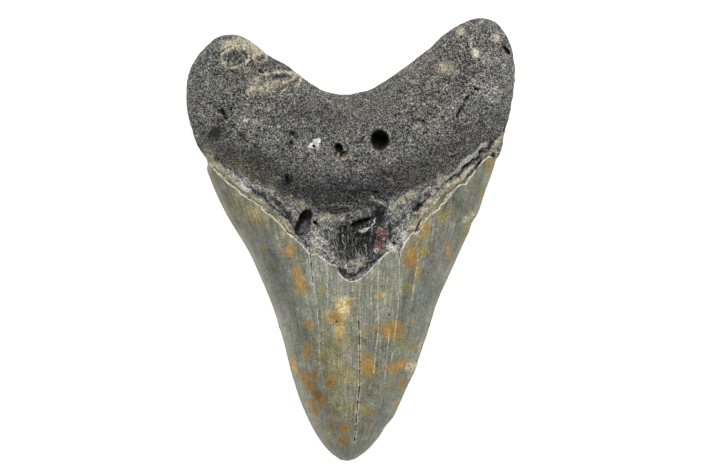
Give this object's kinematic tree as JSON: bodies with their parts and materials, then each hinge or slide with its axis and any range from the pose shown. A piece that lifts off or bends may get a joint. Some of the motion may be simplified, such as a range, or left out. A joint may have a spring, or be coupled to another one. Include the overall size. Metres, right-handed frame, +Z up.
{
  "type": "fossil megalodon tooth",
  "caption": "Fossil shark tooth lying flat: broad triangular blade with worn cutting edges and a point, sunken V-shaped neck band, and a thick pitted root with rounded lobes.",
  "frame": {"origin": "on the surface that the tooth lies on, under the middle of its outline", "axes": "+Y from the point towards the root lobes, +Z up out of the thick inner (tongue side) face, +X to the right seen from above"},
  "size_m": [0.09, 0.1214, 0.0269],
  "materials": {
    "fossil": "dark granular root, streaked grey-green enamel with orange-brown stains"
  },
  "bodies": {
    "root": {"tooth": "fossil"}
  },
  "joints": []
}
